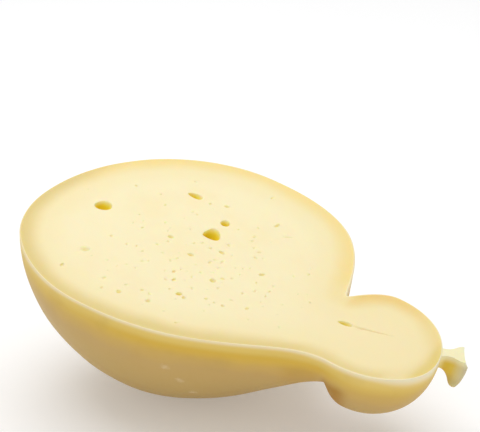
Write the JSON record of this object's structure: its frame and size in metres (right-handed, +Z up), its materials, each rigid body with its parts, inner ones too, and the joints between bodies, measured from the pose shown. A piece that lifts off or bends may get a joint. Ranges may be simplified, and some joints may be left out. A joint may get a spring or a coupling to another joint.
{
  "type": "halved caciocavallo cheese",
  "caption": "Half of a pear-shaped stretched-curd cheese, cut lengthwise: round belly, tied-in neck, small head and pinched nub, lying on its rind with the pale cut face up.",
  "frame": {"origin": "on the resting surface, under the middle of the part's box", "axes": "+X along the cheese from its round end towards its head, +Z up, +Y towards the creased side of the neck"},
  "size_m": [0.2198, 0.1444, 0.0951],
  "materials": {
    "cheese": "smooth satin rind, golden under the cut and duller tan below, with a pale butter-yellow cut face that is matt and slightly moist"
  },
  "bodies": {
    "root": {"caciocavallo_half": "cheese"}
  },
  "joints": []
}
